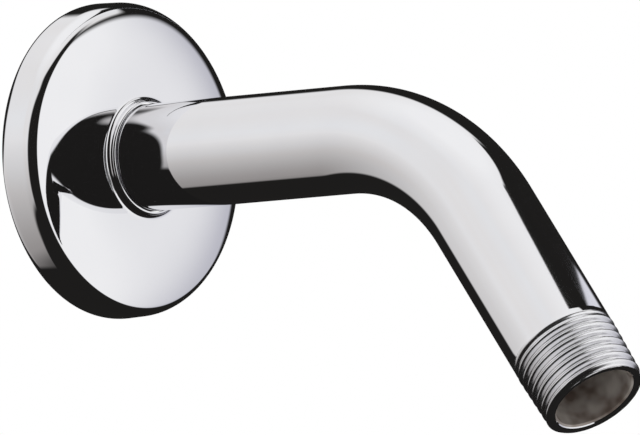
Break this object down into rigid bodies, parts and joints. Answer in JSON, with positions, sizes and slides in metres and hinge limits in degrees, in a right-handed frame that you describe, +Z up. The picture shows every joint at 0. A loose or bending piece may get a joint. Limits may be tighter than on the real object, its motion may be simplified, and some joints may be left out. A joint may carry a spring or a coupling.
{
  "type": "shower arm",
  "caption": "Chrome-plated bent tube that carries water from a wall fitting to a shower head, with threaded ends and a domed flange that slides along it to cover the wall opening.",
  "frame": {"origin": "on the inlet axis, at the wall plane, which is the plane of the flange's back edge at rest", "axes": "+X out of the wall along the inlet, +Z up, so the arm bends down in the XZ plane towards -Z"},
  "size_m": [0.1511, 0.062, 0.091],
  "materials": {
    "chrome_tube": "polished chrome plate on brass, bare in the bore",
    "chrome_flange": "polished chrome plate on pressed sheet"
  },
  "bodies": {
    "arm": {"arm_tube": "chrome_tube"},
    "flange": {"wall_flange": "chrome_flange"}
  },
  "joints": [
    {"name": "flange_slide", "type": "slide", "parent": "arm", "child": "flange", "axis": [1, 0, 0], "range_m": [0, 0.05]}
  ]
}
